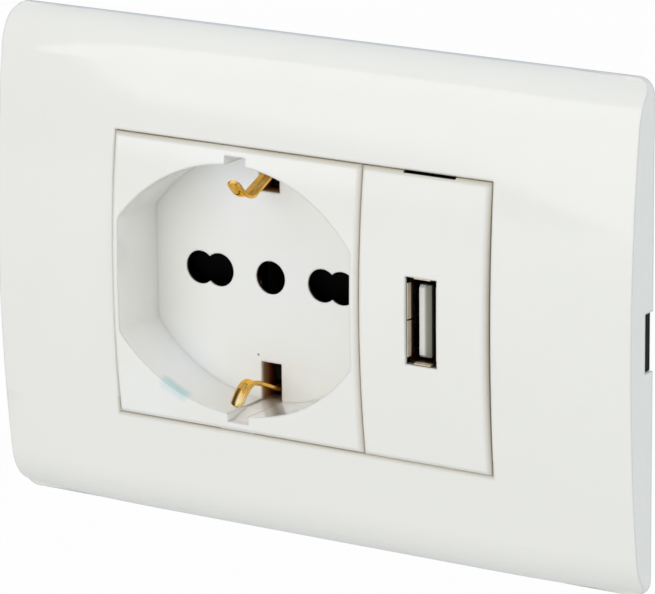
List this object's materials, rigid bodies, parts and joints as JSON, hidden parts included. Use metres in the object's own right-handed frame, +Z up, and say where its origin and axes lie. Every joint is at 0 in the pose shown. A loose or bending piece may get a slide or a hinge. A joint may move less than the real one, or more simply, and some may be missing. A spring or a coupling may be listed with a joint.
{
  "type": "usb wall socket",
  "caption": "Flush wall socket with an arched white cover plate, a shuttered recessed mains socket with brass earth clips, and a usb charging port beside it.",
  "frame": {"origin": "on the wall plane behind the middle of the plate, midway between the two fixing slots", "axes": "+X to the right seen from the room, +Y into the wall, +Z up"},
  "size_m": [0.114, 0.0406, 0.079],
  "materials": {
    "white_gloss": "polished white thermoplastic",
    "rear_moulding": "satin moulding",
    "shutter_plastic": "dark matt moulding",
    "spring_steel": "drawn wire",
    "brass_strip": "rolled strip",
    "plated_steel": "bright plated",
    "shell_steel": "nickel plated sheet",
    "tongue_plastic": "fine matt moulding",
    "gilt_contact": "thin gilt",
    "board_laminate": "green lacquered laminate",
    "ferrite": "sintered ferrite",
    "winding_tape": "yellow polyester tape",
    "can_sleeve": "shrunk sleeve",
    "black_moulding": "matt moulding",
    "terminal_plastic": "satin moulding"
  },
  "bodies": {
    "wall_socket": {"cover_plate": "white_gloss", "socket_front": "white_gloss", "usb_front": "white_gloss", "mounting_frame": "black_moulding", "socket_rear": "rear_moulding", "usb_rear_case": "rear_moulding", "shutter_spring": "spring_steel", "live_contact": "brass_strip", "neutral_contact": "brass_strip", "earth_contact": "brass_strip", "earth_bridge": "brass_strip", "socket_clamps": "brass_strip", "usb_clamps": "brass_strip", "socket_screws": "plated_steel", "usb_screws": "plated_steel", "usb_shell": "shell_steel", "usb_insulator": "tongue_plastic", "usb_contacts": "gilt_contact", "circuit_board": "board_laminate", "transformer_core": "ferrite", "transformer_winding": "winding_tape", "input_capacitor": "can_sleeve", "output_capacitor": "can_sleeve", "rectifier": "black_moulding", "controller_chip": "black_moulding", "filter_choke": "ferrite", "usb_terminal_block": "terminal_plastic"},
    "shutter": {"shutter": "shutter_plastic"}
  },
  "joints": [
    {"name": "shutter_slide", "type": "slide", "parent": "wall_socket", "child": "shutter", "axis": [0, 0, 1], "range_m": [0, 0.006], "stiffness_N_per_m": 150, "springref_m": -0.003, "deforming": ["shutter_spring"]}
  ]
}
